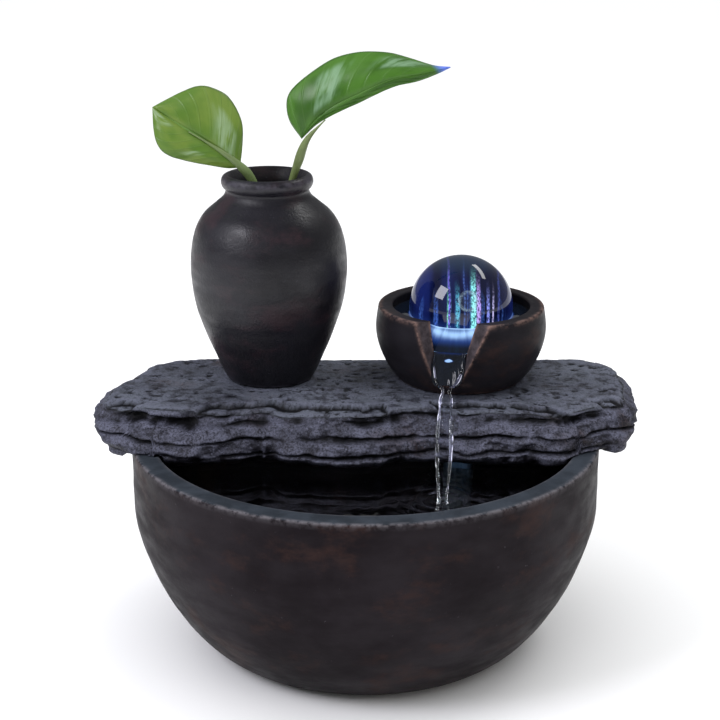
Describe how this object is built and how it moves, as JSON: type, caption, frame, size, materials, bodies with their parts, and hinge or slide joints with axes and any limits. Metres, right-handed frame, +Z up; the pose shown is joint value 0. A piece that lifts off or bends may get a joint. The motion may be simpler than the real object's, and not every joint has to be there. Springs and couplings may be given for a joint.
{
  "type": "tabletop water fountain",
  "caption": "Round basin bridged by a rock-look slab that carries a vase with leaf sprigs and a notched cup where a lit glass ball turns on a water jet; a pump stands below.",
  "frame": {"origin": "on the table, under the centre of the basin and midway between the slab's ends", "axes": "+Z up; +X along the slab from the vase to the ball cup; -Y towards the front, where the water falls"},
  "size_m": [0.206, 0.1776, 0.2231],
  "materials": {
    "basin_resin": "satin",
    "slab_resin": "matte",
    "vase_resin": "satin",
    "cup_resin": "satin",
    "ball_glass": "polished",
    "clear_plastic": "gloss",
    "hose_silicone": "satin",
    "black_rubber": "matte",
    "pump_plastic": "satin",
    "dial_plastic": "gloss",
    "plate_plastic": "satin",
    "filter_foam": "matte",
    "seal_rubber": "satin",
    "impeller_plastic": "satin",
    "magnet_ferrite": "satin",
    "shaft_ceramic": "gloss",
    "led_can_plastic": "satin",
    "led_board_laminate": "satin",
    "led_chip": "gloss",
    "lead_plastic": "satin",
    "leaf_green": "gloss",
    "stem_green": "satin"
  },
  "bodies": {
    "basin_body": {"basin": "basin_resin", "foot_pad_1": "black_rubber", "foot_pad_2": "black_rubber", "foot_pad_3": "black_rubber", "foot_pad_4": "black_rubber"},
    "top": {"rock_slab": "slab_resin", "vase": "vase_resin", "ball_cup": "cup_resin", "ball_seat": "clear_plastic", "jet_nozzle": "clear_plastic", "nozzle_grommet": "black_rubber", "riser_hose": "hose_silicone", "outlet_spigot": "pump_plastic", "led_can": "led_can_plastic", "led_board": "led_board_laminate", "led_chip_1": "led_chip", "led_chip_2": "led_chip", "led_chip_3": "led_chip", "led_chip_4": "led_chip", "led_lens": "clear_plastic", "led_lead": "lead_plastic", "led_socket": "pump_plastic", "pump_case": "pump_plastic", "pump_volute": "pump_plastic", "pump_seal": "seal_rubber", "bush_front": "black_rubber", "bush_rear": "black_rubber", "rotor_shaft": "shaft_ceramic", "rating_plate": "plate_plastic", "cable_gland": "black_rubber", "suction_cup_1": "black_rubber", "suction_cup_2": "black_rubber", "suction_cup_3": "black_rubber", "suction_cup_4": "black_rubber"},
    "ball": {"glass_ball": "ball_glass"},
    "sprig_left": {"sprig_left_stem": "stem_green", "sprig_left_blade": "leaf_green"},
    "sprig_right": {"sprig_right_stem": "stem_green", "sprig_right_blade": "leaf_green"},
    "cover": {"pump_cover": "pump_plastic", "filter_foam": "filter_foam"},
    "dial": {"flow_dial": "dial_plastic"},
    "rotor": {"impeller": "impeller_plastic", "rotor_magnet": "magnet_ferrite"}
  },
  "joints": [
    {"name": "top_lift", "type": "slide", "parent": "basin_body", "child": "top", "axis": [0, 0, 1], "range_m": [0, 0.12]},
    {"name": "ball_spin", "type": "hinge", "parent": "top", "child": "ball", "pos_m": [0.0371, 0.0214, 0.1253], "axis": [1, 0, 0], "continuous": true},
    {"name": "sprig_left_lift", "type": "slide", "parent": "top", "child": "sprig_left", "axis": [0, 0, 1], "range_m": [0, 0.085]},
    {"name": "sprig_right_lift", "type": "slide", "parent": "top", "child": "sprig_right", "axis": [0, 0, 1], "range_m": [0, 0.085]},
    {"name": "cover_slide", "type": "slide", "parent": "top", "child": "cover", "axis": [0, -1, 0], "range_m": [0, 0.03]},
    {"name": "dial_turn", "type": "hinge", "parent": "cover", "child": "dial", "pos_m": [0.0198, 0, 0.0331], "axis": [0, 1, 0], "range_deg": [-60, 60]},
    {"name": "impeller_spin", "type": "hinge", "parent": "top", "child": "rotor", "pos_m": [0.027, 0.018, 0.0281], "axis": [0, 1, 0], "continuous": true}
  ]
}
